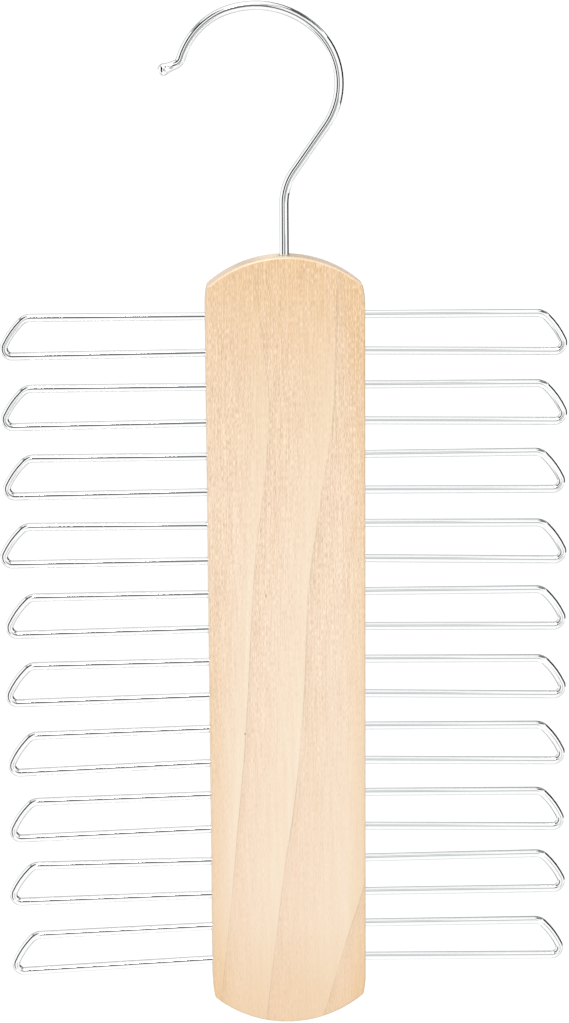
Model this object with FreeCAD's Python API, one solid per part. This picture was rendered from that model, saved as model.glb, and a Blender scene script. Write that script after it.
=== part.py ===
import FreeCAD, Part
import math
import os

# A tie hanger: a flat wooden board, U-shaped wire loops glued into both of its long edges,
# and a bent wire hook that turns in a sleeve in the board's top edge.
# Lengths are in millimetres and angles in degrees.
# X runs to the right of someone facing the front, Y to the back and Z up.
# Pieces are laid out with the shank's axis at X = 0, the board's middle layer at Y = 0 and
# its highest point at Z = 0, then moved so that the origin is the rail's seat in the hook.

# Board
BOARD_WIDTH = 56.5
BOARD_LENGTH = 284.9
BOARD_THICKNESS = 12.0
TOP_RISE = 11.0
BOTTOM_RISE = 11.0
SHOULDER_RADIUS = 32.0
SHOULDER_TURN = 12.0
CORNER_RADIUS = 2.0
EDGE_ROUND = 1.0

# Loops, each one wire with a raked end. The rows are evenly spaced: the first one's middle is
# FIRST_LOOP_DROP under the board's top, and the last one's LAST_LOOP_RISE over its bottom.
LOOP_ROWS = 10
LOOP_WIRE = 2.9
LOOP_REACH = 73.5
FIRST_LOOP_DROP = 28.0
LAST_LOOP_RISE = 29.65
LOOP_PITCH = (BOARD_LENGTH - FIRST_LOOP_DROP - LAST_LOOP_RISE) / (LOOP_ROWS - 1)
LEG_GAP = 13.0
LEG_DEPTH = 15.0
UPPER_BEND_RADIUS = 5.0
LOWER_BEND_RADIUS = 2.9
RAKE_START_ANGLE = 44.0
RAKE_END_ANGLE = 64.0
LEG_SPLAY_ANGLE = 0.6

# How the loops were left when they were glued in, from the first row down. Each one droops a little,
# and stands out of its holes by a share of LEG_DEPTH, or was pushed in further where that is negative.
# A board with more rows goes through them again.
LEFT_DROOP_ANGLES = (0.05, 0.15, 0.1, -0.2, 0.5, 0.75, 1.55, 1.4, 0.65, 2.05)
RIGHT_DROOP_ANGLES = (0.65, 0.7, 0.4, 1.1, 0.65, 1.2, 1.1, 1.1, 0.1, 0.7)
LEFT_STAND_OUT_SHARES = (-0.06, -0.04, -0.05, 0.06, -0.02, 0.02, 0.01, 0.02, 0.05, 0.04)
RIGHT_STAND_OUT_SHARES = (-0.06, -0.04, -0.07, -0.01, -0.01, 0.02, 0.02, 0.02, 0.06, 0.04)

# Hook, one wire from the head inside the board to the ball at its tip
HOOK_WIRE = 3.3
SHANK_RISE = 18.0
LEAN_RADIUS = 19.4
LEAN_ANGLE = 35.4
LEAN_RUN = 19.4
BACK_RADIUS = 25.6
BACK_TURN = 82.5
CROWN_RADIUS = 30.9
CROWN_TURN = 58.9
NOSE_RADIUS = 25.7
NOSE_TURN = 55.0
TIP_RADIUS = 2.5
TIP_TURN = 46.1
TIP_RUN = 5.45
BALL_DIAMETER = 4.4
BALL_FLAT = 0.3
HEAD_OVERHANG = 0.25
HEAD_LENGTH = 1.6
HEAD_BEVEL = 0.25

# Sleeve that the shank turns in
SLEEVE_LENGTH = 18.0
SLEEVE_WALL = 0.3
SLEEVE_RECESS = 0.5

# Fits
GLUE_GAP = 0.05
SLEEVE_GAP = 0.05
SHANK_CLEARANCE = 0.05
HEAD_PLAY = 0.35
HOLE_END_GAP = 1.0
OVERRUN = 1.0

# All the loops' holes are drilled alike, to take the leg that was pushed in furthest
DEEPEST_SHARE = -min(LEFT_STAND_OUT_SHARES + RIGHT_STAND_OUT_SHARES)
HOLE_DEPTH = LEG_DEPTH * (1 + DEEPEST_SHARE) + HOLE_END_GAP

LEFT = -1
RIGHT = 1
SIDE_NAMES = {LEFT: "left", RIGHT: "right"}
UPPER = 1
LOWER = -1

Y_AXIS = FreeCAD.Vector(0, 1, 0)
Z_AXIS = FreeCAD.Vector(0, 0, 1)


def sine(angle):
    return math.sin(math.radians(angle))


def cosine(angle):
    return math.cos(math.radians(angle))


class BentPath:
    """A line in the XZ plane, a wire's centre or the board's outline, as straight runs and tangent bends."""

    def __init__(self, start, heading):
        self.start = start
        self.start_heading = heading
        self.point = start
        self.heading = heading
        self.edges = []
        self.centre = None

    @staticmethod
    def ahead(heading):
        return FreeCAD.Vector(cosine(heading), 0, sine(heading))

    @staticmethod
    def aside(heading):
        return FreeCAD.Vector(-sine(heading), 0, cosine(heading))

    def run(self, length):
        end = self.point + self.ahead(self.heading) * length
        self.edges.append(Part.LineSegment(self.point, end).toShape())
        self.point = end

    def bend(self, radius, turn):
        """Adds an arc that turns anticlockwise, seen from the front, where turn is positive."""
        reach = math.copysign(radius, turn)
        self.centre = self.point + self.aside(self.heading) * reach
        middle = self.centre - self.aside(self.heading + turn / 2) * reach
        end = self.centre - self.aside(self.heading + turn) * reach
        self.edges.append(Part.Arc(self.point, middle, end).toShape())
        self.point = end
        self.heading = self.heading + turn

    def sweep(self, diameter):
        """Returns the round wire of this diameter along the path."""
        ring = Part.Circle(self.start, self.ahead(self.start_heading), diameter / 2)
        profile = Part.Wire([ring.toShape()])
        return Part.Wire(self.edges).makePipeShell([profile], True, True)


class LoopFrame:
    """One loop's own axes: u outwards and v up, moved and tilted as the loop was glued in."""

    def __init__(self, side, row):
        droops = LEFT_DROOP_ANGLES if side == LEFT else RIGHT_DROOP_ANGLES
        shares = LEFT_STAND_OUT_SHARES if side == LEFT else RIGHT_STAND_OUT_SHARES
        self.side = side
        self.droop = droops[row % len(droops)]
        self.stand_out = LEG_DEPTH * shares[row % len(shares)]
        self.middle = -FIRST_LOOP_DROP - row * LOOP_PITCH

    def point(self, u, v):
        out = u * cosine(self.droop) + v * sine(self.droop)
        up = v * cosine(self.droop) - u * sine(self.droop)
        across = BOARD_WIDTH / 2 + self.stand_out + out
        return FreeCAD.Vector(self.side * across, 0, self.middle + up)

    def heading(self, angle):
        level = angle - self.droop
        return level if self.side == RIGHT else 180 - level

    def leg_point(self, leg, u):
        """Returns the point at u on the upper or lower leg's axis."""
        return self.point(u, leg * (LEG_GAP / 2 + u * math.tan(math.radians(LEG_SPLAY_ANGLE / 2))))


def rake_sizes():
    """Returns the upper leg's length outside the board and the raked end's large radius.

    The legs splay evenly from LEG_GAP at the board, the tip stands LOOP_REACH out, and the
    radius follows from the drop that the two small bends leave over.
    """
    half = LEG_SPLAY_ANGLE / 2
    slope = math.tan(math.radians(half))
    upper_out = UPPER_BEND_RADIUS * (sine(RAKE_START_ANGLE) + sine(half))
    upper_drop = UPPER_BEND_RADIUS * (cosine(half) - cosine(RAKE_START_ANGLE))
    lower_out = -LOWER_BEND_RADIUS * (sine(half) + sine(RAKE_END_ANGLE))
    lower_drop = LOWER_BEND_RADIUS * (cosine(RAKE_END_ANGLE) + cosine(half))
    rake_out_share = sine(RAKE_END_ANGLE) - sine(RAKE_START_ANGLE)
    rake_drop_share = cosine(RAKE_START_ANGLE) - cosine(RAKE_END_ANGLE)
    tip = LOOP_REACH - LOOP_WIRE / 2 - LOWER_BEND_RADIUS * (1 - sine(RAKE_END_ANGLE))
    to_bend = tip - upper_out
    spare_drop = LEG_GAP + (upper_out + lower_out) * slope - upper_drop - lower_drop
    radius = (spare_drop + 2 * slope * to_bend) / (rake_drop_share + rake_out_share * slope)
    return to_bend - rake_out_share * radius, radius


def loop(side, row):
    """Returns one loop: upper leg, raked end in three tangent bends, and lower leg."""
    frame = LoopFrame(side, row)
    half = LEG_SPLAY_ANGLE / 2
    outer_length, rake_radius = rake_sizes()
    path = BentPath(frame.leg_point(UPPER, -LEG_DEPTH), frame.heading(half))
    path.run((LEG_DEPTH + outer_length) / cosine(half))
    path.bend(UPPER_BEND_RADIUS, -side * (RAKE_START_ANGLE + half))
    path.bend(rake_radius, -side * (RAKE_END_ANGLE - RAKE_START_ANGLE))
    path.bend(LOWER_BEND_RADIUS, -side * (180 + half - RAKE_END_ANGLE))
    path.run((frame.leg_point(LOWER, -LEG_DEPTH) - path.point).Length)
    return path.sweep(LOOP_WIRE)


def leg_hole(side, row, leg):
    """Returns the blind hole that one leg is glued into, open past the board's edge."""
    frame = LoopFrame(side, row)
    mouth = frame.leg_point(leg, OVERRUN - frame.stand_out)
    bottom = frame.leg_point(leg, -HOLE_DEPTH - frame.stand_out)
    along = mouth - bottom
    return Part.makeCylinder(LOOP_WIRE / 2 + GLUE_GAP, along.Length, bottom, along)


def sleeve_radii():
    """Returns the sleeve's inner and outer radius."""
    inner = HOOK_WIRE / 2 + SHANK_CLEARANCE
    return inner, inner + SLEEVE_WALL


def shank_bottom():
    """Returns the height of the shank's lower end, under the sleeve."""
    return -SLEEVE_RECESS - SLEEVE_LENGTH - HEAD_PLAY - HEAD_LENGTH


def hook_bore():
    """Returns the blind bore that takes the sleeve and the shank's head."""
    radius = sleeve_radii()[1] + SLEEVE_GAP
    bottom = shank_bottom() - HOLE_END_GAP
    return Part.makeCylinder(radius, OVERRUN - bottom, FreeCAD.Vector(0, 0, bottom), Z_AXIS)


def end_bends(rise):
    """Returns how far an end's crest stands over the straight sides, and its bends' radii and turns.

    A side leans in along its shoulder, turns a small corner and goes over into the arch, whose radius
    is that of an arc of this rise over the board's full width.
    """
    half = BOARD_WIDTH / 2
    arch_radius = (half * half + rise * rise) / (2 * rise)
    shoulder_reach = SHOULDER_RADIUS - CORNER_RADIUS
    corner_across = half - SHOULDER_RADIUS + shoulder_reach * cosine(SHOULDER_TURN)
    corner_up = math.sqrt((arch_radius - CORNER_RADIUS) ** 2 - corner_across ** 2)
    arch_start = math.degrees(math.atan2(corner_up, corner_across))
    crest = arch_radius - corner_up + shoulder_reach * sine(SHOULDER_TURN)
    shoulder = (SHOULDER_RADIUS, SHOULDER_TURN)
    corner = (CORNER_RADIUS, arch_start - SHOULDER_TURN)
    arch = (arch_radius, 180 - 2 * arch_start)
    return crest, (shoulder, corner, arch, corner, shoulder)


def board_blank():
    """Returns the board before drilling: arched ends, shoulders, small corners and eased edges."""
    top_crest, top_bends = end_bends(TOP_RISE)
    bottom_crest, bottom_bends = end_bends(BOTTOM_RISE)
    start = FreeCAD.Vector(BOARD_WIDTH / 2, -BOARD_THICKNESS / 2, bottom_crest - BOARD_LENGTH)
    outline = BentPath(start, 90)
    for bends in (top_bends, bottom_bends):
        outline.run(BOARD_LENGTH - top_crest - bottom_crest)
        for radius, turn in bends:
            outline.bend(radius, turn)
    blank = Part.Face(Part.Wire(outline.edges)).extrude(Y_AXIS * BOARD_THICKNESS)
    rims = [edge for edge in blank.Edges if edge.BoundBox.YLength < BOARD_THICKNESS / 2]
    return blank.makeFillet(EDGE_ROUND, rims)


def board():
    """Returns the board with the hook's bore and two holes for every loop."""
    drills = [hook_bore()]
    for side in SIDE_NAMES:
        for row in range(LOOP_ROWS):
            for leg in (UPPER, LOWER):
                drills.append(leg_hole(side, row, leg))
    return board_blank().cut(Part.makeCompound(drills))


def hook_path():
    """Returns the hook's centreline, and the centre of its crown, where the rail sits."""
    path = BentPath(FreeCAD.Vector(0, 0, shank_bottom()), 90)
    path.run(SHANK_RISE - shank_bottom())
    path.bend(LEAN_RADIUS, -LEAN_ANGLE)
    path.run(LEAN_RUN)
    path.bend(BACK_RADIUS, BACK_TURN)
    path.bend(CROWN_RADIUS, CROWN_TURN)
    crown_centre = path.centre
    path.bend(NOSE_RADIUS, NOSE_TURN)
    path.bend(TIP_RADIUS, -TIP_TURN)
    path.run(TIP_RUN)
    return path, crown_centre


def tip_ball(path):
    """Returns the ball upset on the hook's tip, pressed flat at its end."""
    radius = BALL_DIAMETER / 2
    ahead = path.ahead(path.heading)
    ball = Part.makeSphere(radius, path.point)
    flat = Part.makeCylinder(radius, radius, path.point + ahead * (radius - BALL_FLAT), ahead)
    return ball.cut(flat)


def shank_head():
    """Returns the head upset on the shank's lower end, which the sleeve holds in."""
    radius = HOOK_WIRE / 2 + HEAD_OVERHANG
    head = Part.makeCylinder(radius, HEAD_LENGTH, FreeCAD.Vector(0, 0, shank_bottom()), Z_AXIS)
    rim = [edge for edge in head.Edges if edge.BoundBox.ZMax < shank_bottom() + HEAD_LENGTH / 2]
    return head.makeChamfer(HEAD_BEVEL, rim)


def hook():
    """Returns the hook: head, shank, leaning run, crook, turned-out tip and ball."""
    path = hook_path()[0]
    wire = path.sweep(HOOK_WIRE)
    return wire.fuse([shank_head(), tip_ball(path)]).removeSplitter()


def hook_sleeve():
    """Returns the tube pressed into the board's top edge, just below its surface."""
    inner, outer = sleeve_radii()
    base = FreeCAD.Vector(0, 0, -SLEEVE_RECESS - SLEEVE_LENGTH)
    tube = Part.makeCylinder(outer, SLEEVE_LENGTH, base, Z_AXIS)
    return tube.cut(Part.makeCylinder(inner, SLEEVE_LENGTH, base, Z_AXIS))


def rail_seat():
    """Returns the point inside the crook that rests on a rail."""
    return hook_path()[1] + Z_AXIS * (CROWN_RADIUS - HOOK_WIRE / 2)


def main():
    pieces = {"board": board(), "hook": hook(), "hook_sleeve": hook_sleeve()}
    for side, side_name in SIDE_NAMES.items():
        for row in range(LOOP_ROWS):
            pieces[f"{side_name}_loop_{row + 1:02d}"] = loop(side, row)
    os.makedirs("parts", exist_ok=True)
    to_seat = rail_seat() * -1
    for name, shape in pieces.items():
        placed = shape.translated(to_seat)
        placed.exportStep(f"parts/{name}.step")
        print(name, len(placed.Solids), placed.isValid(), round(placed.Volume, 1))
    print("shank axis", to_seat)


main()
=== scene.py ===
"""Looks of a wooden tie hanger with twenty wire loops and a swivelling hook.

All places are in metres in the CAD frame: X to the right of someone facing the hanger, Y to its back, Z up,
with the origin where a rail sits inside the hook's crook. The board, the loops and the hook are modelled
again with finer bends and edges. They keep the CAD's sizes, apart from the hook's tip, which bends more
softly, and the eased leg ends and hole mouths. The sleeve in the board's top keeps its CAD node.
"""

import logging
import math
from collections.abc import Callable
from dataclasses import dataclass
from enum import Enum

import bmesh
import bpy
from mathutils import Matrix, Vector


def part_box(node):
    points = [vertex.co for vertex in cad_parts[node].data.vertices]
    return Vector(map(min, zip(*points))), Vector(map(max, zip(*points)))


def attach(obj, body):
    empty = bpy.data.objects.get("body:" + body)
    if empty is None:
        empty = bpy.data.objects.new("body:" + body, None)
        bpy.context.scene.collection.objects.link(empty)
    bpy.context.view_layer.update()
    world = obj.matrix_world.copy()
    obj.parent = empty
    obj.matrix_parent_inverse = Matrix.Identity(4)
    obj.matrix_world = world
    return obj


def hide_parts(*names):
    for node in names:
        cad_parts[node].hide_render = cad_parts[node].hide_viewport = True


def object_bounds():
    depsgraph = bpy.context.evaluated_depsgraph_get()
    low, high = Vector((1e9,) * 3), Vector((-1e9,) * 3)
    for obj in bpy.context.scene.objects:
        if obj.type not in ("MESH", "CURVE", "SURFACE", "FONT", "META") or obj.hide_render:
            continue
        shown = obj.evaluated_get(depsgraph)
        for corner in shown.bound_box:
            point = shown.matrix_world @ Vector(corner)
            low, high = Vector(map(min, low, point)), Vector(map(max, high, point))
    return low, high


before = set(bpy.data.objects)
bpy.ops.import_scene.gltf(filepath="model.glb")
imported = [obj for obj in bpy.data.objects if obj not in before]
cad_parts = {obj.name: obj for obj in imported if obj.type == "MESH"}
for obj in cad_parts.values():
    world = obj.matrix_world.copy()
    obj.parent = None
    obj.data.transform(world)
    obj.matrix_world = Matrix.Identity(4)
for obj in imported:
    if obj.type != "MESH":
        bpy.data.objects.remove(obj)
CAD_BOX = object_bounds()

LOG = logging.getLogger("tie_hanger")
MM = 0.001
# Vertices that a modelling step leaves closer than this are one vertex
MERGE_DISTANCE = 0.001 * MM
SMOOTH_ANGLE = 35.0
# A turn about this axis is anticlockwise for someone facing the hanger
TURN_AXIS = (0.0, 1.0, 0.0)


class Body(Enum):
    """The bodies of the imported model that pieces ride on."""

    HOOK = "hook"
    RACK = "rack"


class Slot(Enum):
    """The record's material slots of the pieces that are modelled again."""

    WOOD = "natural_wood"
    PLATING = "bright_plating"


class Side(Enum):
    """The board's long edges, with the direction in X that their loops point to."""

    LEFT = -1
    RIGHT = 1


def linear(colour: str) -> tuple[float, float, float, float]:
    """Turns an sRGB hex colour into linear light.

    Args:
        colour: the colour as #RRGGBB.

    Returns:
        Red, green, blue and a full alpha.
    """
    shares = [int(colour[place:place + 2], 16) / 255 for place in (1, 3, 5)]
    light = [share / 12.92 if share <= 0.04045 else ((share + 0.055) / 1.055) ** 2.4 for share in shares]
    return light[0], light[1], light[2], 1.0


def add_node(
    tree: bpy.types.NodeTree, kind: str, feeds: dict | None = None, **settings: object
) -> bpy.types.Node:
    """Adds a shader node with its settings, values and links.

    Args:
        tree: the node tree to add to.
        kind: the node's type name.
        feeds: for each input, by name or number, the node or socket to link or the value to set.
        settings: the node's own properties.

    Returns:
        The new node.
    """
    node = tree.nodes.new(kind)
    for name, value in settings.items():
        setattr(node, name, value)
    for key, value in (feeds or {}).items():
        named = (place for place in node.inputs if place.enabled and place.name == key)
        socket = node.inputs[key] if isinstance(key, int) else next(named)
        if isinstance(value, bpy.types.Node):
            value = next(output for output in value.outputs if output.enabled)
        if isinstance(value, bpy.types.NodeSocket):
            tree.links.new(value, socket)
        else:
            socket.default_value = value
    return node


def shape_curve(curve: bpy.types.ShaderNodeFloatCurve, points: tuple[tuple[float, float], ...]) -> None:
    """Draws a curve through its points.

    Args:
        curve: the curve, new.
        points: the points from left to right.
    """
    line = curve.mapping.curves[0]
    line.points[0].location = points[0]
    line.points[1].location = points[-1]
    for place in points[1:-1]:
        line.points.new(*place)
    curve.mapping.update()


def empty_material(name: str) -> tuple[bpy.types.Material, bpy.types.NodeTree]:
    """Makes a material with no nodes in it.

    Args:
        name: the real material's name.

    Returns:
        The material and its node tree.
    """
    material = bpy.data.materials.new(name)
    material.use_nodes = True
    material.node_tree.nodes.clear()
    return material, material.node_tree


def take(piece: bpy.types.Object) -> None:
    """Selects one object alone and makes it the active one.

    Args:
        piece: the object.
    """
    bpy.ops.object.select_all(action="DESELECT")
    piece.select_set(True)
    bpy.context.view_layer.objects.active = piece


def settle() -> None:
    """Puts the active object's place, turn and size into its mesh."""
    bpy.ops.object.transform_apply(location=True, rotation=True, scale=True)


def pick_vertices(test: Callable[[Vector], bool]) -> None:
    """Selects the vertices of the mesh in edit mode that pass a test, and the edges and faces between them.

    Args:
        test: takes a vertex's place and says whether it is picked.
    """
    bpy.ops.mesh.select_all(action="DESELECT")
    mesh = bpy.context.object.data
    shape = bmesh.from_edit_mesh(mesh)
    for vertex in shape.verts:
        vertex.select = test(vertex.co)
    shape.select_flush(True)
    bmesh.update_edit_mesh(mesh)


def sweep_round(centre: Vector, turn: float, step: float) -> None:
    """Sweeps what is selected in edit mode along an arc in the XZ plane.

    Args:
        centre: the arc's centre.
        turn: the arc's angle in degrees, anticlockwise from the front.
        step: the largest angle between two sections, in degrees.
    """
    bpy.ops.mesh.spin(
        steps=math.ceil(abs(turn) / step), angle=math.radians(turn), center=centre, axis=TURN_AXIS
    )


def clean_shell() -> None:
    """Merges the doubles of the mesh in edit mode, turns its faces outwards and leaves edit mode."""
    bpy.ops.mesh.select_all(action="SELECT")
    bpy.ops.mesh.remove_doubles(threshold=MERGE_DISTANCE)
    bpy.ops.mesh.normals_make_consistent(inside=False)
    bpy.ops.object.mode_set(mode="OBJECT")


def dress(
    piece: bpy.types.Object, material: bpy.types.Material, node: str, body: Body
) -> None:
    """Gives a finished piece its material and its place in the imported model, and reports it.

    Args:
        piece: the finished piece.
        material: its finish.
        node: the CAD node that it stands for.
        body: the body that it moves with.
    """
    piece.data.materials.clear()
    piece.data.materials.append(material)
    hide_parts(node)
    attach(piece, body.value)
    low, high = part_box(node)
    corners = [piece.matrix_world @ Vector(corner) for corner in piece.bound_box]
    own_low = Vector(min(corner[axis] for corner in corners) for axis in range(3))
    own_high = Vector(max(corner[axis] for corner in corners) for axis in range(3))
    apart = max(abs(value) for value in (*(own_low - low), *(own_high - high)))
    LOG.info("%s for %s on %s: %d faces, box within %.3f mm", piece.name, node, body.value,
             len(piece.data.polygons), apart / MM)


class WireBender:
    """Forms one round bar in the XZ plane, a step at a time, as on a bending bench."""

    SIDES = 40
    BEND_STEP = 5.0

    def __init__(self, name: str, start: Vector, heading: float, radius: float) -> None:
        """Cuts the bar's first end.

        Args:
            name: the piece's name.
            start: the middle of the first end.
            heading: the direction to go in, in degrees from +X towards +Z.
            radius: the bar's radius at that end.
        """
        self.point = start.copy()
        self.heading = heading
        self.radius = radius
        bpy.ops.object.select_all(action="DESELECT")
        bpy.ops.mesh.primitive_circle_add(
            vertices=self.SIDES, radius=radius, fill_type="NGON", location=start,
            rotation=(0.0, math.radians(90 - heading), 0.0),
        )
        self.piece = bpy.context.active_object
        self.piece.name = name
        self.piece.data.name = name
        settle()
        bpy.ops.object.mode_set(mode="EDIT")
        bpy.ops.mesh.select_all(action="SELECT")

    def ahead(self) -> Vector:
        """Returns the direction that the bar goes in."""
        angle = math.radians(self.heading)
        return Vector((math.cos(angle), 0.0, math.sin(angle)))

    def run(self, length: float) -> None:
        """Goes straight on.

        Args:
            length: how far.
        """
        step = self.ahead() * length
        bpy.ops.mesh.extrude_region_move(TRANSFORM_OT_translate={"value": step})
        self.point += step

    def bend(self, radius: float, turn: float) -> None:
        """Goes round an arc that starts in the bar's own direction.

        Args:
            radius: the arc's radius at the middle of the bar.
            turn: the arc's angle in degrees, anticlockwise from the front.
        """
        side = math.copysign(radius, turn)
        angle = math.radians(self.heading)
        centre = self.point + side * Vector((-math.sin(angle), 0.0, math.cos(angle)))
        sweep_round(centre, turn, self.BEND_STEP)
        self.heading += turn
        angle = math.radians(self.heading)
        self.point = centre + side * Vector((math.sin(angle), 0.0, -math.cos(angle)))

    def flare(self, length: float, radius: float) -> None:
        """Goes straight on to an end of another radius.

        Args:
            length: how far.
            radius: the new radius.
        """
        self.run(length)
        share = radius / self.radius
        bpy.ops.transform.resize(value=(share, share, share), center_override=self.point)
        self.radius = radius

    def finish(self) -> bpy.types.Object:
        """Closes the work and returns the piece, smooth but for its hard rims."""
        clean_shell()
        take(self.piece)
        bpy.ops.object.shade_smooth_by_angle(angle=math.radians(SMOOTH_ANGLE))
        return self.piece


@dataclass(frozen=True)
class GrainLayer:
    """One layer of marks along the grain, each about so wide and long, with the colour that they tend to.

    A layer rises from nothing where its noise is at start to its strength where it is at full. Grain that
    opens shows on the tan, early side of a ring and near the board's top, and dents go into the lacquer.
    """

    width: float
    length: float
    detail: float
    start: float
    full: float
    strength: float
    tint: str
    opens: bool = True
    dent: float = 0.0


@dataclass(frozen=True)
class Fleck:
    """A tiny dark mark in the face: its place as shares of length and width, and its width and length."""

    down_share: float
    across_share: float
    width: float
    length: float
    strength: float


@dataclass(frozen=True)
class LacqueredHardwood:
    """Pale flat-sawn hardwood, smoothed by sanding and sealed with satin lacquer."""

    pale: str = "#DFCFBA"
    tan: str = "#DDC6B0"
    rim: str = "#A3876B"
    honey: str = "#D4AF81"
    fleck: str = "#5A4634"
    # The end grain's own tone on the top and bottom, painted greyer and darker as painted shade as well
    end_grain_and_shade: str = "#D2BFA8"
    end_grain_and_shade_share: float = 0.6
    # The rounded edge round the top is painted paler: a painted highlight of the lamp above it
    painted_top_edge_highlight: str = "#FFF4E2"
    painted_highlight_share: float = 0.2
    # The upward part of a face's normal where that painted highlight starts, is full, fades and ends
    painted_highlight_leans: tuple[float, float, float, float] = (0.20, 0.40, 0.60, 0.80)
    # The same where the greyer end grain and its painted shade start and are full, at both ends
    end_grain_and_shade_leans: tuple[float, float] = (0.45, 0.9)
    # Two growth lines on the face: shares of the length from the top, and of the width from the left
    left_line_shares: tuple[tuple[float, float], ...] = (
        (0.00, 0.290), (0.10, 0.350), (0.18, 0.388), (0.26, 0.370), (0.39, 0.295),
        (0.56, 0.243), (0.75, 0.164), (1.00, 0.030),
    )
    right_line_shares: tuple[tuple[float, float], ...] = (
        (0.00, 0.830), (0.10, 0.810), (0.19, 0.800), (0.30, 0.720), (0.43, 0.630),
        (0.56, 0.605), (0.70, 0.540), (0.80, 0.465), (1.00, 0.345),
    )
    # The width of the ring right of them, whose own line runs out at the lower right edge
    last_ring_shares: tuple[tuple[float, float], ...] = (
        (0.00, 0.670), (0.40, 0.700), (0.60, 0.610), (0.80, 0.545), (0.89, 0.465),
        (0.94, 0.420), (1.00, 0.365),
    )
    # How dark the growth lines are across a ring
    line_shares: tuple[tuple[float, float], ...] = (
        (0.00, 0.9), (0.015, 0.6), (0.03, 0.1), (0.05, 0.35), (0.065, 0.05), (0.085, 0.2), (0.10, 0.0),
        (0.30, 0.0), (0.985, 0.0), (1.00, 0.6),
    )
    # A growth line's strength where its noise is low and where it is high
    patch_noise: tuple[float, float] = (0.3, 0.7)
    patch_shares: tuple[float, float] = (0.12, 0.68)
    # A ring turns from tan to pale between these shares of its width
    ripening_shares: tuple[float, float] = (0.15, 0.92)
    # The grain's strength on the pale side of a ring, and along the length
    closed_share: float = 0.35
    grain_shares: tuple[tuple[float, float], ...] = (
        (0.00, 1.0), (0.40, 1.0), (0.55, 0.75), (0.75, 0.45), (1.00, 0.40),
    )
    # The rings lean this far to the left for each step towards the back
    ring_slope: float = 0.55
    # Left of the left line the wood turns tan again this much sooner
    early_turn: float = 0.6
    oldest_ring: float = -1.9
    ring_waver: float = 0.05
    waver_size: tuple[float, float] = (27 * MM, 55 * MM)
    waver_detail: float = 3.0
    patch_size: tuple[float, float] = (9 * MM, 34 * MM)
    patch_detail: float = 2.0
    # The honey tone along the length, and how far it reaches in from the long edges
    honey_shares: tuple[tuple[float, float], ...] = (
        (0.00, 1.00), (0.06, 0.75), (0.14, 0.47), (0.26, 0.22), (0.40, 0.08), (0.55, 0.00),
        (0.82, 0.02), (0.90, 0.25), (0.96, 0.50), (1.00, 0.65),
    )
    edge_reach: float = 9.5 * MM
    edge_share: float = 0.44
    # The left edge is warm on its lower half only: shares of the length where that starts and is full
    left_warm_shares: tuple[float, float] = (0.30, 0.55)
    # Real pores are near 0.1 mm wide: these are drawn coarser, so that they show
    layers: tuple[GrainLayer, ...] = (
        GrainLayer(1.8 * MM, 70 * MM, 3.0, 0.40, 0.75, 0.40, "#D9BE9F", opens=False),
        GrainLayer(6.0 * MM, 30 * MM, 2.0, 0.45, 0.75, 0.18, "#DDC6B0", opens=False),
        GrainLayer(0.22 * MM, 14 * MM, 1.0, 0.50, 0.85, 0.42, "#B08D6C"),
        GrainLayer(0.22 * MM, 14 * MM, 1.0, 0.50, 0.15, 0.42, "#F6ECDA"),
        GrainLayer(0.20 * MM, 1.9 * MM, 1.0, 0.50, 0.85, 0.62, "#A98766"),
        GrainLayer(0.20 * MM, 1.9 * MM, 1.0, 0.50, 0.15, 0.62, "#F6ECDA"),
        GrainLayer(0.28 * MM, 3.5 * MM, 1.0, 0.62, 0.76, 0.32, "#A3825F", dent=0.008 * MM),
    )
    flecks: tuple[Fleck, ...] = (
        Fleck(0.4289, 0.3652, 0.45 * MM, 1.3 * MM, 0.6),
        Fleck(0.4352, 0.6770, 0.40 * MM, 0.8 * MM, 0.3),
        Fleck(0.6091, 0.2234, 0.50 * MM, 0.7 * MM, 0.8),
    )
    # A fleck is full and gone at these shares of its half size
    fleck_shares: tuple[float, float] = (0.5, 1.3)
    roughness: float = 0.22
    early_roughness: float = 0.05
    lacquer_ior: float = 1.5

    def rings(
        self, tree: bpy.types.NodeTree, axes: dict, down: bpy.types.Node, board: "Board"
    ) -> bpy.types.Node:
        """Adds the growth rings between the lines on the face.

        Args:
            tree: the material's tree.
            axes: the point's X, Y and Z outputs, by name.
            down: the share of the board's length above the point.
            board: the board that the wood is cut for.

        Returns:
            How many rings right of the right line the point is.
        """
        lean = self.ring_slope * board.front
        leaning = add_node(
            tree, "ShaderNodeMath", {0: axes["Y"], 1: self.ring_slope, 2: axes["X"]},
            operation="MULTIPLY_ADD",
        )
        across = add_node(
            tree, "ShaderNodeMapRange",
            {"Value": leaning, "From Min": board.left + lean, "From Max": board.right + lean}, clamp=False,
        )
        curves = []
        for shares in (self.left_line_shares, self.right_line_shares, self.last_ring_shares):
            curves.append(add_node(tree, "ShaderNodeFloatCurve", {"Value": down}))
            shape_curve(curves[-1], shares)
        left_line, right_line, last_ring = curves
        middle_ring = add_node(tree, "ShaderNodeMath", {0: right_line, 1: left_line}, operation="SUBTRACT")
        aside = add_node(tree, "ShaderNodeMath", {0: across, 1: right_line}, operation="SUBTRACT")
        later = add_node(tree, "ShaderNodeMath", {0: aside, 1: last_ring}, operation="DIVIDE")
        later = add_node(tree, "ShaderNodeMath", {0: later, 1: 0.0}, operation="MAXIMUM")
        earlier = add_node(tree, "ShaderNodeMath", {0: aside, 1: middle_ring}, operation="DIVIDE")
        earlier = add_node(tree, "ShaderNodeMath", {0: earlier, 1: 0.0}, operation="MINIMUM")
        oldest = add_node(tree, "ShaderNodeMath", {0: earlier, 1: 1.0}, operation="ADD")
        oldest = add_node(tree, "ShaderNodeMath", {0: oldest, 1: 0.0}, operation="MINIMUM")
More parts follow.
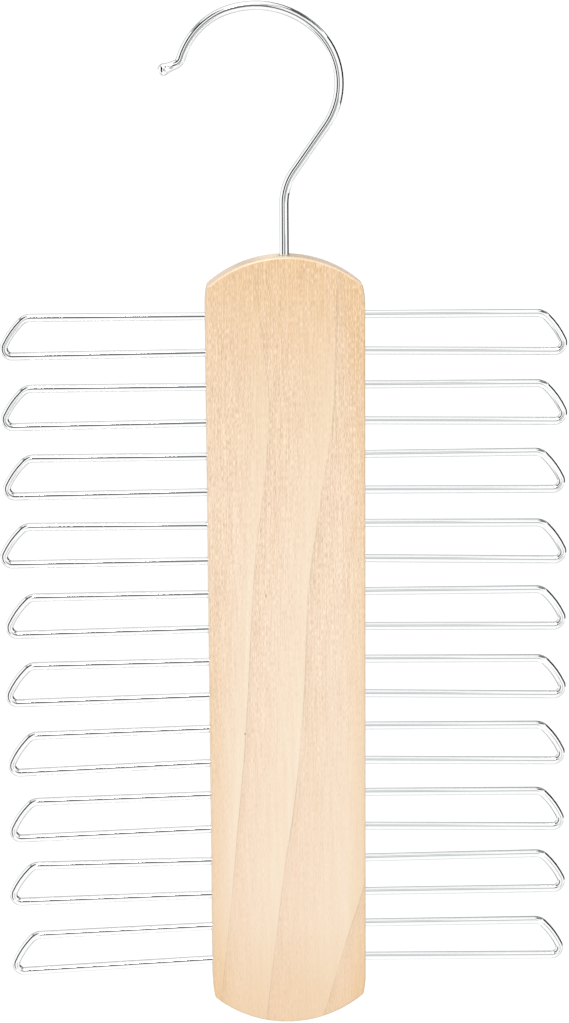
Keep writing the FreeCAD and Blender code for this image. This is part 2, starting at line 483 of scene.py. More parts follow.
        earlier = add_node(
            tree, "ShaderNodeMath", {0: oldest, 1: self.early_turn, 2: earlier}, operation="MULTIPLY_ADD"
        )
        earlier = add_node(tree, "ShaderNodeMath", {0: earlier, 1: self.oldest_ring}, operation="MAXIMUM")
        return add_node(tree, "ShaderNodeMath", {0: earlier, 1: later}, operation="ADD")

    def warmth(
        self, tree: bpy.types.NodeTree, axes: dict, down: bpy.types.Node, board: "Board"
    ) -> bpy.types.Node:
        """Adds the honey tone near the board's ends and long edges.

        Args:
            tree: the material's tree.
            axes: the point's X, Y and Z outputs, by name.
            down: the share of the board's length above the point.
            board: the board.

        Returns:
            How much of the honey tone shows.
        """
        warmth = add_node(tree, "ShaderNodeFloatCurve", {"Value": down})
        shape_curve(warmth, self.honey_shares)
        starts, full = self.left_warm_shares
        lower = add_node(
            tree, "ShaderNodeMapRange",
            {"Value": down, "From Min": starts, "From Max": full, "To Max": self.edge_share},
            interpolation_type="SMOOTHSTEP",
        )
        right = (board.right - self.edge_reach, board.right, self.edge_share)
        left = (board.left + self.edge_reach, board.left, lower)
        for starts, full, share in (right, left):
            edge = add_node(
                tree, "ShaderNodeMapRange",
                {"Value": axes["X"], "From Min": starts, "From Max": full, "To Max": share},
                interpolation_type="SMOOTHSTEP",
            )
            warmth = add_node(
                tree, "ShaderNodeMath", {0: warmth, 1: edge}, operation="ADD", use_clamp=True
            )
        return warmth

    def material(self, board: "Board") -> bpy.types.Material:
        """Makes the wood.

        Args:
            board: the board that it is cut for.

        Returns:
            The material.
        """
        # To the eye: a creamy ground with broad growth rings that lean across the face, each with a thin
        # dark line at its left, tan and finely flecked beside it and smooth and pale further right, honey
        # tones near the ends and edges, a painted highlight along the rounded top edge, greyer end grain
        # that is partly painted shade, three dark flecks, and a soft satin gloss that the pores break up
        wood, tree = empty_material("lacquered_pale_hardwood")
        place = add_node(tree, "ShaderNodeTexCoord").outputs["Object"]
        axes = add_node(tree, "ShaderNodeSeparateXYZ", {"Vector": place}).outputs
        down = add_node(
            tree, "ShaderNodeMapRange", {"Value": axes["Z"], "From Min": board.top, "From Max": board.bottom}
        )
        noises = []
        for size, detail in ((self.waver_size, self.waver_detail), (self.patch_size, self.patch_detail)):
            width, length = size
            stretched = add_node(
                tree, "ShaderNodeMapping", {"Vector": place, "Scale": (1 / width, 1 / width, 1 / length)}
            )
            feeds = {"Vector": stretched, "Scale": 1.0, "Detail": detail}
            noises.append(add_node(tree, "ShaderNodeTexNoise", feeds))
        waver, patches = noises
        rings = add_node(
            tree, "ShaderNodeMath", {0: waver, 1: self.ring_waver, 2: self.rings(tree, axes, down, board)},
            operation="MULTIPLY_ADD",
        )
        rings = add_node(tree, "ShaderNodeMath", {0: rings, 1: self.ring_waver / 2}, operation="SUBTRACT")
        ring = add_node(tree, "ShaderNodeMath", {0: rings}, operation="FRACT")
        starts, full = self.ripening_shares
        ripening = add_node(tree, "ShaderNodeMapRange", {"Value": ring, "From Min": starts, "From Max": full})
        colour = add_node(
            tree, "ShaderNodeMix", {"Factor": ripening, "A": linear(self.tan), "B": linear(self.pale)},
            data_type="RGBA",
        )
        warmth = self.warmth(tree, axes, down, board)
        # A growth line is sharp on its left, with weaker ones to its right, and comes and goes on its way
        line = add_node(tree, "ShaderNodeFloatCurve", {"Value": ring})
        shape_curve(line, self.line_shares)
        low, high = self.patch_noise
        faint, strong = self.patch_shares
        patches = add_node(
            tree, "ShaderNodeMapRange",
            {"Value": patches, "From Min": low, "From Max": high, "To Min": faint, "To Max": strong},
        )
        line = add_node(tree, "ShaderNodeMath", {0: line, 1: patches}, operation="MULTIPLY")
        for share, tone in ((warmth, self.honey), (line, self.rim)):
            colour = add_node(
                tree, "ShaderNodeMix", {"Factor": share, "A": colour, "B": linear(tone)}, data_type="RGBA"
            )
        # How open the grain is: most on the tan side of a ring and near the top
        opening = add_node(
            tree, "ShaderNodeMapRange", {"Value": ripening, "To Min": 1.0, "To Max": self.closed_share}
        )
        opening = add_node(tree, "ShaderNodeMath", {0: opening, 1: warmth}, operation="MAXIMUM")
        calm = add_node(tree, "ShaderNodeFloatCurve", {"Value": down})
        shape_curve(calm, self.grain_shares)
        opening = add_node(tree, "ShaderNodeMath", {0: opening, 1: calm}, operation="MULTIPLY")
        relief = 0.0
        for layer in self.layers:
            stretched = add_node(
                tree, "ShaderNodeMapping",
                {"Vector": place, "Scale": (1 / layer.width, 1 / layer.width, 1 / layer.length)},
            )
            noise = add_node(
                tree, "ShaderNodeTexNoise", {"Vector": stretched, "Scale": 1.0, "Detail": layer.detail}
            )
            marks = add_node(
                tree, "ShaderNodeMapRange",
                {"Value": noise, "From Min": layer.start, "From Max": layer.full, "To Max": layer.strength},
            )
            if layer.opens:
                marks = add_node(tree, "ShaderNodeMath", {0: marks, 1: opening}, operation="MULTIPLY")
            colour = add_node(
                tree, "ShaderNodeMix", {"Factor": marks, "A": colour, "B": linear(layer.tint)},
                data_type="RGBA",
            )
            if layer.dent:
                depth = -layer.dent / layer.strength
                relief = add_node(
                    tree, "ShaderNodeMath", {0: marks, 1: depth, 2: relief}, operation="MULTIPLY_ADD"
                )
        full, gone = self.fleck_shares
        for fleck in self.flecks:
            spot = Vector((
                board.left + fleck.across_share * board.width, board.front,
                board.top - fleck.down_share * board.length,
            ))
            size = Vector((fleck.width / 2, fleck.width, fleck.length / 2))
            nearby = add_node(
                tree, "ShaderNodeMapping",
                {"Vector": place, "Location": [-at / reach for at, reach in zip(spot, size)],
                 "Scale": [1 / reach for reach in size]},
            )
            apart = add_node(tree, "ShaderNodeVectorMath", {0: nearby}, operation="LENGTH")
            dot = add_node(
                tree, "ShaderNodeMapRange",
                {"Value": apart, "From Min": gone, "From Max": full, "To Max": fleck.strength},
            )
            colour = add_node(
                tree, "ShaderNodeMix", {"Factor": dot, "A": colour, "B": linear(self.fleck)},
                data_type="RGBA",
            )
        facing = add_node(tree, "ShaderNodeNewGeometry").outputs["Normal"]
        upward = add_node(tree, "ShaderNodeSeparateXYZ", {"Vector": facing}).outputs["Z"]
        endward = add_node(tree, "ShaderNodeMath", {0: upward}, operation="ABSOLUTE")
        # Partly painted shade: faces whose normal points up or down get the greyer end-grain tone
        starts, full = self.end_grain_and_shade_leans
        ends = add_node(
            tree, "ShaderNodeMapRange",
            {"Value": endward, "From Min": starts, "From Max": full, "To Max": self.end_grain_and_shade_share},
            interpolation_type="SMOOTHSTEP",
        )
        # Painted highlight: where the normal leans partly up, the rounded top edge is painted a paler cream
        starts, full, fades, gone = self.painted_highlight_leans
        painted_highlight_mask = self.painted_highlight_share
        for low, high in ((gone, fades), (starts, full)):
            feeds = {"Value": upward, "From Min": low, "From Max": high, "To Max": painted_highlight_mask}
            painted_highlight_mask = add_node(tree, "ShaderNodeMapRange", feeds)
        for share, tone in ((ends, self.end_grain_and_shade), (painted_highlight_mask, self.painted_top_edge_highlight)):
            colour = add_node(
                tree, "ShaderNodeMix", {"Factor": share, "A": colour, "B": linear(tone)}, data_type="RGBA"
            )
        bump = add_node(tree, "ShaderNodeBump", {"Height": relief, "Distance": 1.0, "Strength": 1.0})
        sheen = add_node(
            tree, "ShaderNodeMapRange",
            {"Value": ripening, "To Min": self.roughness + self.early_roughness, "To Max": self.roughness},
        )
        surface = add_node(
            tree, "ShaderNodeBsdfPrincipled",
            {"Base Color": colour, "Roughness": sheen, "IOR": self.lacquer_ior, "Normal": bump},
        )
        add_node(tree, "ShaderNodeOutputMaterial", {"Surface": surface})
        return wood


@dataclass(frozen=True)
class BrightPlating:
    """Chrome plating on drawn steel wire."""

    name: str = "chrome_plated_wire"
    colour: str = "#F4F5F6"
    roughness: float = 0.015
    waver_length: float = 9 * MM
    waver_height: float = 0.0015 * MM
    waver_detail: float = 1.0
    haze_length: float = 2.5 * MM
    haze_detail: float = 3.0
    haze_noise: tuple[float, float] = (0.3, 0.7)
    haze: float = 0.02

    def material(self) -> bpy.types.Material:
        """Makes the plating and returns it."""
        # To the eye: hard white, grey and black lines along the wire, which waver a little where it was
        # straightened
        plating, tree = empty_material(self.name)
        place = add_node(tree, "ShaderNodeTexCoord").outputs["Object"]
        waver = add_node(
            tree, "ShaderNodeTexNoise",
            {"Vector": place, "Scale": 1 / self.waver_length, "Detail": self.waver_detail},
        )
        bump = add_node(
            tree, "ShaderNodeBump", {"Height": waver, "Distance": self.waver_height, "Strength": 1.0}
        )
        haze = add_node(
            tree, "ShaderNodeTexNoise",
            {"Vector": place, "Scale": 1 / self.haze_length, "Detail": self.haze_detail},
        )
        low, high = self.haze_noise
        roughness = add_node(
            tree, "ShaderNodeMapRange",
            {"Value": haze, "From Min": low, "From Max": high, "To Min": self.roughness,
             "To Max": self.roughness + self.haze},
        )
        surface = add_node(
            tree, "ShaderNodeBsdfPrincipled",
            {"Base Color": linear(self.colour), "Metallic": 1.0, "Roughness": roughness, "Normal": bump},
        )
        add_node(tree, "ShaderNodeOutputMaterial", {"Surface": surface})
        return plating


@dataclass(frozen=True)
class TurnedSteel:
    """Plain turned steel of the sleeve in the board's top."""

    name: str = "turned_steel"
    colour: str = "#A9ABAE"
    dark: str = "#8B8D90"
    roughness: float = 0.32
    mark_width: float = 0.25 * MM
    mark_detail: float = 2.0
    mark_depth: float = 0.006 * MM

    def material(self) -> bpy.types.Material:
        """Makes the steel and returns it."""
        # To the eye: a dull grey ring with fine marks round it from the cutting tool, drawn coarser than real
        # ones
        steel, tree = empty_material(self.name)
        place = add_node(tree, "ShaderNodeTexCoord").outputs["Object"]
        height = add_node(tree, "ShaderNodeSeparateXYZ", {"Vector": place}).outputs["Z"]
        marks = add_node(
            tree, "ShaderNodeTexNoise",
            {"W": height, "Scale": 1 / self.mark_width, "Detail": self.mark_detail}, noise_dimensions="1D",
        )
        colour = add_node(
            tree, "ShaderNodeMix", {"Factor": marks, "A": linear(self.dark), "B": linear(self.colour)},
            data_type="RGBA",
        )
        bump = add_node(
            tree, "ShaderNodeBump", {"Height": marks, "Distance": self.mark_depth, "Strength": 1.0}
        )
        surface = add_node(
            tree, "ShaderNodeBsdfPrincipled",
            {"Base Color": colour, "Metallic": 1.0, "Roughness": self.roughness, "Normal": bump},
        )
        add_node(tree, "ShaderNodeOutputMaterial", {"Surface": surface})
        return steel


@dataclass
class Board:
    """The flat board with arched ends, and the holes that its wires go into."""

    low: Vector
    high: Vector
    arch_rise: float = 11 * MM
    shoulder_radius: float = 32 * MM
    shoulder_turn: float = 12.0
    corner_radius: float = 2 * MM
    edge_round: float = 1 * MM
    edge_steps: int = 6
    # A bevel's profile of a half is a quarter circle
    edge_profile: float = 0.5
    outline_step: float = 2.5

    @property
    def left(self) -> float:
        """Returns the left edge's X."""
        return self.low.x

    @property
    def right(self) -> float:
        """Returns the right edge's X."""
        return self.high.x

    @property
    def front(self) -> float:
        """Returns the front face's Y."""
        return self.low.y

    @property
    def top(self) -> float:
        """Returns the Z of the top arch's crest."""
        return self.high.z

    @property
    def bottom(self) -> float:
        """Returns the Z of the bottom arch's crest."""
        return self.low.z

    @property
    def width(self) -> float:
        """Returns the board's width."""
        return self.high.x - self.low.x

    @property
    def length(self) -> float:
        """Returns the board's length from crest to crest."""
        return self.high.z - self.low.z

    @property
    def thickness(self) -> float:
        """Returns the board's thickness."""
        return self.high.y - self.low.y

    @property
    def middle(self) -> float:
        """Returns the X of the board's middle line."""
        return (self.low.x + self.high.x) / 2

    @property
    def middle_height(self) -> float:
        """Returns the Z of the board's middle."""
        return (self.low.z + self.high.z) / 2

    def blank(self) -> bpy.types.Object:
        """Models the board before it is drilled and returns it.

        Its left side is a strip whose upper end is swept round the outline, and the two faces are filled in.
        """
        half = self.width / 2
        lean = math.radians(self.shoulder_turn)
        arch = (half ** 2 + self.arch_rise ** 2) / (2 * self.arch_rise)
        shoulder_reach = self.shoulder_radius - self.corner_radius
        shoulder_across = half - self.shoulder_radius
        corner_across = shoulder_across + shoulder_reach * math.cos(lean)
        corner_up = math.sqrt((arch - self.corner_radius) ** 2 - corner_across ** 2)
        shoulder_up = corner_up - shoulder_reach * math.sin(lean)
        arch_start = math.degrees(math.atan2(corner_up, corner_across))
        side = self.length - 2 * (arch - shoulder_up)
        shoulder = (shoulder_across, shoulder_up, self.shoulder_turn)
        corner = (corner_across, corner_up, arch_start - self.shoulder_turn)
        bends = (
            shoulder, corner, (0.0, 0.0, 180 - 2 * arch_start),
            (-corner_across, *corner[1:]), (-shoulder_across, *shoulder[1:]),
        )
        bpy.ops.object.select_all(action="DESELECT")
        bpy.ops.mesh.primitive_plane_add(
            size=1.0, location=(self.low.x, 0.0, self.middle_height), rotation=(0.0, math.radians(-90), 0.0)
        )
        blank = bpy.context.active_object
        blank.name = "lacquered_board"
        blank.data.name = "lacquered_board"
        blank.scale = (side, self.thickness, 1.0)
        settle()
        bpy.ops.object.mode_set(mode="EDIT")
        pick_vertices(lambda place: place.z > self.middle_height)
        for over in (1, -1):
            arch_centre = self.middle_height + over * (self.length / 2 - arch)
            for across, up, turn in bends:
                centre = Vector((self.middle - over * across, 0.0, arch_centre + over * up))
                sweep_round(centre, -turn, self.outline_step)
            if over == 1:
                bpy.ops.mesh.extrude_region_move(TRANSFORM_OT_translate={"value": (0.0, 0.0, -side)})
        bpy.ops.mesh.select_all(action="SELECT")
        bpy.ops.mesh.remove_doubles(threshold=MERGE_DISTANCE)
        for face in (self.low.y, self.high.y):
            pick_vertices(lambda place, face=face: abs(place.y - face) < MERGE_DISTANCE)
            bpy.ops.mesh.edge_face_add()
        bpy.ops.mesh.select_all(action="SELECT")
        bpy.ops.mesh.normals_make_consistent(inside=False)
        self.pick_rims(blank)
        bpy.ops.mesh.bevel(
            offset=self.edge_round, segments=self.edge_steps, profile=self.edge_profile, affect="EDGES"
        )
        bpy.ops.mesh.select_mode(type="VERT")
        clean_shell()
        return blank

    def pick_rims(self, blank: bpy.types.Object) -> None:
        """Selects the edges round the front and back face.

        Args:
            blank: the board in edit mode.
        """
        bpy.ops.mesh.select_mode(type="EDGE")
        bpy.ops.mesh.select_all(action="DESELECT")
        shape = bmesh.from_edit_mesh(blank.data)
        for edge in shape.edges:
            edge.select = abs(edge.verts[0].co.y - edge.verts[1].co.y) < MERGE_DISTANCE
        bmesh.update_edit_mesh(blank.data)

    def build(self, drills: list[bpy.types.Object], wood: bpy.types.Material) -> bpy.types.Object:
        """Models the board, drills it and dresses it.

        Args:
            drills: solids of the holes, which are used up.
            wood: its finish.

        Returns:
            The board.
        """
        board = self.blank()
        take(drills[0])
        for drill in drills[1:]:
            drill.select_set(True)
        bpy.ops.object.join()
        holes = bpy.context.active_object
        take(board)
        cut = board.modifiers.new("drilling", "BOOLEAN")
        cut.operation = "DIFFERENCE"
        cut.solver = "EXACT"
        cut.object = holes
        bpy.ops.object.modifier_apply(modifier=cut.name)
        bpy.data.objects.remove(holes)
        bpy.ops.object.shade_smooth_by_angle(angle=math.radians(SMOOTH_ANGLE))
        flat = board.modifiers.new("flat_faces", "WEIGHTED_NORMAL")
        flat.keep_sharp = True
        bpy.ops.object.modifier_apply(modifier=flat.name)
        dress(board, wood, "board", Body.RACK)
        return board


@dataclass
class LoopRows:
    """The ten U-shaped wires on each long edge, and the holes that their legs are glued into.

    A loop is modelled once, pointing right, with its board edge and the middle of its legs at the origin.
    Each was glued in by hand, so each droops by its own angle and stands out by its own share of the depth of
    its legs.
    """

    board: Board
    rows: int = 10
    wire: float = 2.9 * MM
    first_drop: float = 28 * MM
    last_rise: float = 29.65 * MM
    reach: float = 73.5 * MM
    leg_gap: float = 13 * MM
    leg_depth: float = 15 * MM
    splay: float = 0.6
    upper_bend: float = 5 * MM
    lower_bend: float = 2.9 * MM
    rake_start: float = 44.0
    rake_end: float = 64.0
    left_droops: tuple[float, ...] = (0.05, 0.15, 0.1, -0.2, 0.5, 0.75, 1.55, 1.4, 0.65, 2.05)
    right_droops: tuple[float, ...] = (0.65, 0.7, 0.4, 1.1, 0.65, 1.2, 1.1, 1.1, 0.1, 0.7)
    left_out_shares: tuple[float, ...] = (-0.06, -0.04, -0.05, 0.06, -0.02, 0.02, 0.01, 0.02, 0.05, 0.04)
    right_out_shares: tuple[float, ...] = (-0.06, -0.04, -0.07, -0.01, -0.01, 0.02, 0.02, 0.02, 0.06, 0.04)
    glue_gap: float = 0.05 * MM
    hole_end_gap: float = 1 * MM
    mouth_ease: float = 0.05 * MM
    overrun: float = 1 * MM
    leg_end_round: float = 0.3 * MM

    @property
    def hole_depth(self) -> float:
        """Returns the depth of the holes, which takes the leg that goes in furthest."""
        deepest = -min(self.left_out_shares + self.right_out_shares)
        return self.leg_depth * (1 + deepest) + self.hole_end_gap

    def rake_sizes(self) -> tuple[float, float]:
        """Works out the raked end from the reach and the gap between the legs.

        Returns:
            The upper leg's length outside the board, and the radius of the raked end's long curve.
        """
        half = math.radians(self.splay / 2)
        start = math.radians(self.rake_start)
        end = math.radians(self.rake_end)
        slope = math.tan(half)
        upper_out = self.upper_bend * (math.sin(start) + math.sin(half))
        upper_drop = self.upper_bend * (math.cos(half) - math.cos(start))
        lower_out = -self.lower_bend * (math.sin(half) + math.sin(end))
        lower_drop = self.lower_bend * (math.cos(end) + math.cos(half))
        rake_out = math.sin(end) - math.sin(start)
        rake_drop = math.cos(start) - math.cos(end)
        tip = self.reach - self.wire / 2 - self.lower_bend * (1 - math.sin(end))
        to_bend = tip - upper_out
        spare = self.leg_gap + (upper_out + lower_out) * slope - upper_drop - lower_drop
        radius = (spare + 2 * slope * to_bend) / (rake_drop + rake_out * slope)
        return to_bend - rake_out * radius, radius

    def leg_point(self, out: float, over: int) -> Vector:
        """Finds a point on a leg's middle line.

        Args:
            out: how far it is from the board's edge.
            over: 1 for the upper leg, -1 for the lower one.

        Returns:
            The point.
        """
        height = self.leg_gap / 2 + out * math.tan(math.radians(self.splay / 2))
        return Vector((out, 0.0, over * height))

    def pattern_loop(self) -> bpy.types.Object:
        """Models the loop that all the others are copied from and returns it."""
        half = self.splay / 2
        straight = math.cos(math.radians(half))
        outer, rake_radius = self.rake_sizes()
        radius = self.wire / 2
        tip = radius - self.leg_end_round
        bender = WireBender("pattern_loop", self.leg_point(-self.leg_depth, 1), half, tip)
        bender.flare(self.leg_end_round, radius)
        bender.run((self.leg_depth + outer) / straight - self.leg_end_round)
        bender.bend(self.upper_bend, -(self.rake_start + half))
        bender.bend(rake_radius, self.rake_start - self.rake_end)
        bender.bend(self.lower_bend, -(180 + half - self.rake_end))
        back = (self.leg_point(-self.leg_depth, -1) - bender.point).length
        bender.run(back - self.leg_end_round)
        bender.flare(self.leg_end_round, tip)
        return bender.finish()

    def pattern_drill(self, over: int) -> bpy.types.Object:
        """Models the solid of one leg's hole, with its mouth eased a little.

        Args:
            over: 1 for the upper leg, -1 for the lower one.

        Returns:
            The solid.
        """
        radius = self.wire / 2 + self.glue_gap
        bottom = self.leg_point(-self.hole_depth, over)
        drill = WireBender("pattern_drill", bottom, over * self.splay / 2, radius)
        drill.run(self.hole_depth - self.mouth_ease)
        drill.flare(self.mouth_ease + self.overrun, radius + self.mouth_ease + self.overrun)
        return drill.finish()

    def placed_copy(
        self, pattern: bpy.types.Object, name: str, side: Side, row: int, stands_out: bool
    ) -> bpy.types.Object:
        """Copies a pattern to one row of one edge.

        Args:
            pattern: the loop or the hole, modelled at the origin.
            name: the copy's name.
            side: the board's edge.
            row: the row, counted from 0 at the top.
            stands_out: true for a loop; a hole keeps its mouth at the board's edge.

        Returns:
            The copy.
        """
        on_left = side is Side.LEFT
        droop = math.radians((self.left_droops if on_left else self.right_droops)[row])
        stand_out = self.leg_depth * (self.left_out_shares if on_left else self.right_out_shares)[row]
        pitch = (self.board.length - self.first_drop - self.last_rise) / (self.rows - 1)
        edge = self.board.left if on_left else self.board.right
        place = Vector((edge + side.value * stand_out, 0.0, self.board.top - self.first_drop - row * pitch))
        if not stands_out:
            place -= stand_out * Vector((side.value * math.cos(droop), 0.0, -math.sin(droop)))
        take(pattern)
        bpy.ops.object.duplicate(linked=False)
        copy = bpy.context.active_object
        copy.name = name
        copy.data.name = name
        copy.scale = (side.value, 1.0, 1.0)
        copy.rotation_euler = (0.0, side.value * droop, 0.0)
        copy.location = place
        settle()
        bpy.ops.object.mode_set(mode="EDIT")
        clean_shell()
        return copy

    def drills(self) -> list[bpy.types.Object]:
        """Models the holes of all legs and returns their solids."""
        made = []
        for over in (1, -1):
            pattern = self.pattern_drill(over)
            for side in Side:
                for row in range(self.rows):
                    made.append(self.placed_copy(pattern, "leg_drill", side, row, stands_out=False))
            bpy.data.objects.remove(pattern)
        return made

    def build(self, plating: bpy.types.Material) -> None:
        """Models and dresses all loops.

        Args:
            plating: their finish.
        """
        pattern = self.pattern_loop()
        for side in Side:
            for row in range(self.rows):
                place = f"{side.name.lower()}_loop_{row + 1:02d}"
                loop = self.placed_copy(pattern, f"{place}_wire", side, row, stands_out=True)
                dress(loop, plating, place, Body.RACK)
        bpy.data.objects.remove(pattern)


@dataclass
class SwivelHook:
    """The bent hook with the head that holds it under the sleeve and the ball on its tip."""

    board: Board
    wire: float = 3.3 * MM
    shank_rise: float = 18 * MM
    lean_radius: float = 19.4 * MM
    lean_angle: float = 35.4
    lean_run: float = 19.4 * MM
    back_radius: float = 25.6 * MM
    back_turn: float = 82.5
    crown_radius: float = 30.9 * MM
    crown_turn: float = 58.9
    nose_radius: float = 25.7 * MM
    nose_turn: float = 56.4
    tip_radius: float = 3.2 * MM
    tip_turn: float = 50.4
    tip_run: float = 4.4 * MM
    neck_length: float = 2.2 * MM
    neck_radius: float = 1.85 * MM
    ball_radius: float = 2.2 * MM
    ball_flat: float = 0.3 * MM
    ball_rings: int = 12
    head_radius: float = 1.9 * MM
    head_length: float = 1.6 * MM
    head_bevel: float = 0.25 * MM
    head_play: float = 0.35 * MM
    sleeve_recess: float = 0.5 * MM
    sleeve_length: float = 18 * MM
    sleeve_radius: float = 2.0 * MM
    sleeve_gap: float = 0.05 * MM
    bore_end_gap: float = 1 * MM
    overrun: float = 1 * MM
    mouth_ease: float = 0.1 * MM

    @property
    def shank_depth(self) -> float:
        """Returns how far the shank's lower end is under the board's crest."""
        return self.sleeve_recess + self.sleeve_length + self.head_play + self.head_length

    def drill(self) -> bpy.types.Object:
        """Models the solid of the bore for the sleeve and the head, and returns it."""
        radius = self.sleeve_radius + self.sleeve_gap
        depth = self.shank_depth + self.bore_end_gap
        bottom = Vector((self.board.middle, 0.0, self.board.top - depth))
        bore = WireBender("shank_drill", bottom, 90.0, radius)
        bore.run(depth - self.mouth_ease)
        bore.flare(self.mouth_ease + self.overrun, radius + self.mouth_ease + self.overrun)
        return bore.finish()

    def build(self, plating: bpy.types.Material) -> None:
        """Models and dresses the hook.

        Args:
            plating: its finish.
        """
        radius = self.wire / 2
        bottom = Vector((self.board.middle, 0.0, self.board.top - self.shank_depth))
        bender = WireBender("hook_wire", bottom, 90.0, self.head_radius - self.head_bevel)
        bender.flare(self.head_bevel, self.head_radius)
        bender.run(self.head_length - self.head_bevel)
        bender.flare(0.0, radius)
        bender.run(self.shank_depth - self.head_length + self.shank_rise)
        bender.bend(self.lean_radius, -self.lean_angle)
        bender.run(self.lean_run)
        bender.bend(self.back_radius, self.back_turn)
        bender.bend(self.crown_radius, self.crown_turn)
        bender.bend(self.nose_radius, self.nose_turn)
        bender.bend(self.tip_radius, -self.tip_turn)
        neck = math.asin(self.neck_radius / self.ball_radius)
        end = math.pi - math.acos(1 - self.ball_flat / self.ball_radius)
        bender.run(self.tip_run - self.neck_length - self.ball_radius * math.cos(neck))
        bender.flare(self.neck_length, self.neck_radius)
        for ring in range(1, self.ball_rings + 1):
            before = neck + (end - neck) * (ring - 1) / self.ball_rings
            here = neck + (end - neck) * ring / self.ball_rings
            step = self.ball_radius * (math.cos(before) - math.cos(here))
            bender.flare(step, self.ball_radius * math.sin(here))
        hook = bender.finish()
        dress(hook, plating, "hook", Body.HOOK)


@dataclass(frozen=True)
class Panel:
    """A flat panel of the studio that only reflections show, as the camera's side and the tent's gaps are.

    Its bearings are degrees to the right of the camera's side and degrees above the hanger's middle. A panel
    that shades also keeps light off the wood.
    """

    name: str
    bearing: tuple[float, float]
    height: tuple[float, float]
    level: float
    distance: float = 2.6
    shades: bool = False


@dataclass
class Studio:
    """A white tent over a pale floor, with a soft lamp above the camera and darker panels round it."""

    centre: Vector
    white: str = "#FFFFFF"
    tent_level: float = 1.1
    floor_depth: float = 1.6
    floor_width: float = 14.0
    floor_colour: str = "#FAFAF9"
    floor_roughness: float = 0.9
    lamp_power: float = 14.0
    lamp_size: float = 0.45
    lamp_distance: float = 1.9
    lamp_bearing: float = -12.0
    lamp_height: float = 52.0
    # A wide panel is a row of flat strips round the hanger, none wider than this
    strip_turn: float = 30.0
    panels: tuple[Panel, ...] = (
        Panel("camera_slit", (-10, 5), (-10, 30), 0.15, 1.05),
        Panel("slit_side", (5, 20), (-5, 20), 0.50, 1.05),
        Panel("slit_high", (5, 15), (35, 50), 0.35, 1.05),
        Panel("left_bar", (-60, -30), (-40, 60), 0.00, 1.0),
        Panel("low_bar", (20, 30), (-50, -5), 0.05),
        Panel("high_flag", (30, 160), (40, 65), 0.10),
        Panel("right_flag", (80, 120), (-15, 35), 0.00, shades=True),
        Panel("right_rear", (120, 165), (-15, 35), 0.00),
        Panel("rear_band", (-135, -50), (40, 50), 0.40),
        Panel("rear_panel", (150, 210), (5, 50), 0.30),
        Panel("left_edge", (-175, -120), (-10, 45), 0.60),
        Panel("rear_floor", (90, 270), (-70, -25), 0.65, 1.2),
    )

    def toward(self, bearing: float, height: float) -> Vector:
        """Finds the direction of a bearing.

        Args:
            bearing: degrees to the right of the camera's side.
            height: degrees above the hanger's middle.

        Returns:
            The direction from the hanger.
        """
        level = math.cos(math.radians(height))
        return Vector((
            level * math.sin(math.radians(bearing)),
            -level * math.cos(math.radians(bearing)),
            math.sin(math.radians(height)),
        ))

    def tent(self) -> None:
        """Makes the white all round."""
        world = bpy.data.worlds.new("white_tent")
        world.use_nodes = True
        world.node_tree.nodes.clear()
        glow = add_node(
            world.node_tree, "ShaderNodeBackground",
            {"Color": linear(self.white), "Strength": self.tent_level},
        )
        add_node(world.node_tree, "ShaderNodeOutputWorld", {"Surface": glow})
        bpy.context.scene.world = world

    def floor(self) -> None:
        """Makes the pale floor under the rail that the hanger hangs from."""
        bpy.ops.object.select_all(action="DESELECT")
        bpy.ops.mesh.primitive_plane_add(
            size=self.floor_width, location=(self.centre.x, self.centre.y, -self.floor_depth)
        )
        floor = bpy.context.active_object
        floor.name = "studio_floor"
        settle()
        paint, tree = empty_material("pale_floor_paint")
        surface = add_node(
            tree, "ShaderNodeBsdfPrincipled",
            {"Base Color": linear(self.floor_colour), "Roughness": self.floor_roughness},
        )
        add_node(tree, "ShaderNodeOutputMaterial", {"Surface": surface})
        floor.data.materials.append(paint)

    def panel(self, kind: Panel) -> None:
        """Makes one panel, which the camera doesn't see.

        Args:
            kind: its place and brightness.
        """
        first, last = kind.bearing
        strips = math.ceil((last - first) / self.strip_turn)
        turn = (last - first) / strips
        height = sum(kind.height) / 2
        paper, tree = empty_material(f"{kind.name}_paper")
        glow = add_node(tree, "ShaderNodeEmission", {"Color": linear(self.white), "Strength": kind.level})
        add_node(tree, "ShaderNodeOutputMaterial", {"Surface": glow})
        paper.cycles.emission_sampling = "NONE"
        wide = 2 * kind.distance * math.tan(math.radians(turn) / 2) * math.cos(math.radians(height))
        tall = 2 * kind.distance * math.tan(math.radians(kind.height[1] - kind.height[0]) / 2)
        for strip in range(strips):
            outward = self.toward(first + (strip + 0.5) * turn, height)
            bpy.ops.object.select_all(action="DESELECT")
            bpy.ops.mesh.primitive_plane_add(size=1.0)
            panel = bpy.context.active_object
            panel.name = f"{kind.name}_{strip + 1}"
            panel.scale = (wide, tall, 1.0)
            panel.rotation_euler = outward.to_track_quat("Z", "Y").to_euler()
            panel.location = self.centre + outward * kind.distance
            settle()
            panel.data.materials.append(paper)
            panel.visible_camera = False
            panel.visible_diffuse = kind.shades
            panel.visible_shadow = False
            panel.visible_transmission = False

    def lamp(self) -> None:
        """Hangs the soft lamp above the camera."""
        outward = self.toward(self.lamp_bearing, self.lamp_height)
        light = bpy.data.lights.new("soft_lamp", "AREA")
        light.shape = "DISK"
        light.size = self.lamp_size
        light.energy = self.lamp_power
        lamp = bpy.data.objects.new("soft_lamp", light)
        bpy.context.scene.collection.objects.link(lamp)
        lamp.location = self.centre + outward * self.lamp_distance
        lamp.rotation_euler = outward.to_track_quat("Z", "Y").to_euler()

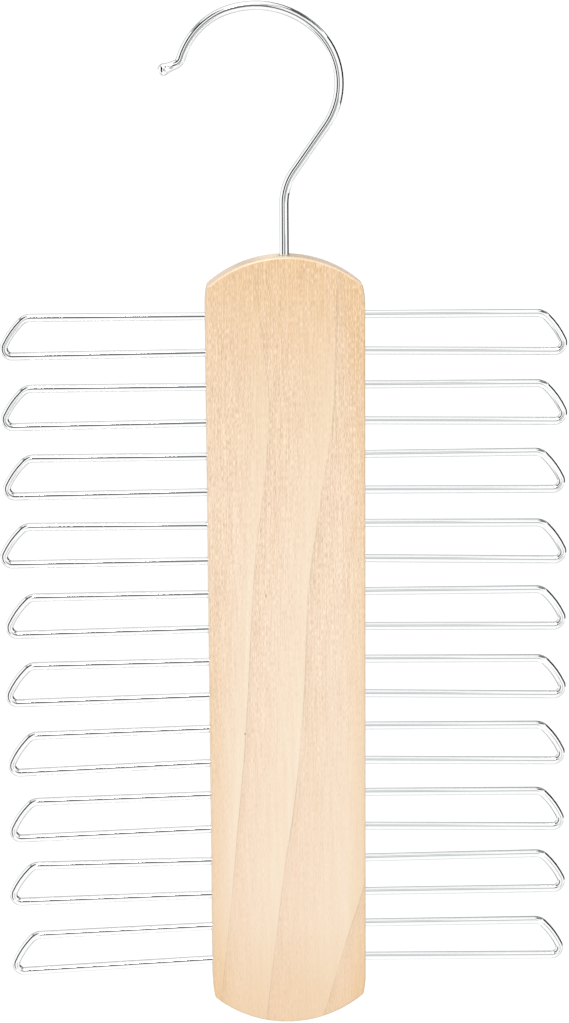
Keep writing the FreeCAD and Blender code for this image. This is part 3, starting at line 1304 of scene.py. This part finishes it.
    def build(self) -> None:
        """Makes the tent, the floor, the lamp and the panels."""
        self.tent()
        self.floor()
        self.lamp()
        for kind in self.panels:
            self.panel(kind)
        bpy.context.scene.view_settings.view_transform = "Standard"


@dataclass
class PhotoCamera:
    """The camera at the photograph's place: a long lens from the front, a little left and above."""

    board: Board
    aim_aside: float = -0.487 * MM
    aim_drop: float = 92.561 * MM
    distance: float = 1077.2 * MM
    downward: float = 12.101
    rightward: float = 2.722
    roll: float = -0.370
    # The lens on a 36 mm frame along the picture's long side
    lens: float = 105.57
    frame_side: float = 36.0
    clip_near: float = 0.05
    clip_far: float = 60.0

    def build(self) -> None:
        """Makes the camera and puts the scene on it."""
        aim = Vector((self.board.middle + self.aim_aside, 0.0, self.board.top - self.aim_drop))
        pitch = math.radians(self.downward)
        yaw = math.radians(self.rightward)
        sight = Vector((math.sin(yaw) * math.cos(pitch), math.cos(yaw) * math.cos(pitch), -math.sin(pitch)))
        level = Vector((math.cos(yaw), -math.sin(yaw), 0.0))
        upright = level.cross(sight)
        roll = math.radians(self.roll)
        right = math.cos(roll) * level + math.sin(roll) * upright
        up = math.cos(roll) * upright - math.sin(roll) * level
        lens = bpy.data.cameras.new("photo_camera")
        lens.sensor_width = self.frame_side
        lens.lens = self.lens
        lens.clip_start = self.clip_near
        lens.clip_end = self.clip_far
        camera = bpy.data.objects.new("photo_camera", lens)
        bpy.context.scene.collection.objects.link(camera)
        turned = Matrix((right, up, -sight)).transposed().to_4x4()
        turned.translation = aim - sight * self.distance
        camera.matrix_world = turned
        bpy.context.scene.camera = camera


def main() -> None:
    """Builds the studio and the hanger's pieces in order."""
    logging.basicConfig(level=logging.INFO, format="%(name)s: %(message)s")
    low, high = CAD_BOX
    board = Board(*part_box("board"))
    PhotoCamera(board).build()
    Studio(centre=(low + high) / 2).build()
    plating = BrightPlating().material()
    loops = LoopRows(board)
    loops.build(plating)
    hook = SwivelHook(board)
    hook.build(plating)
    board.build(loops.drills() + [hook.drill()], LacqueredHardwood().material(board))
    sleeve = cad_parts["hook_sleeve"]
    steel = TurnedSteel().material()
    for slot in sleeve.material_slots:
        slot.material = steel
    LOG.info("hook_sleeve keeps its CAD node")


if __name__ == "__main__":
    main()
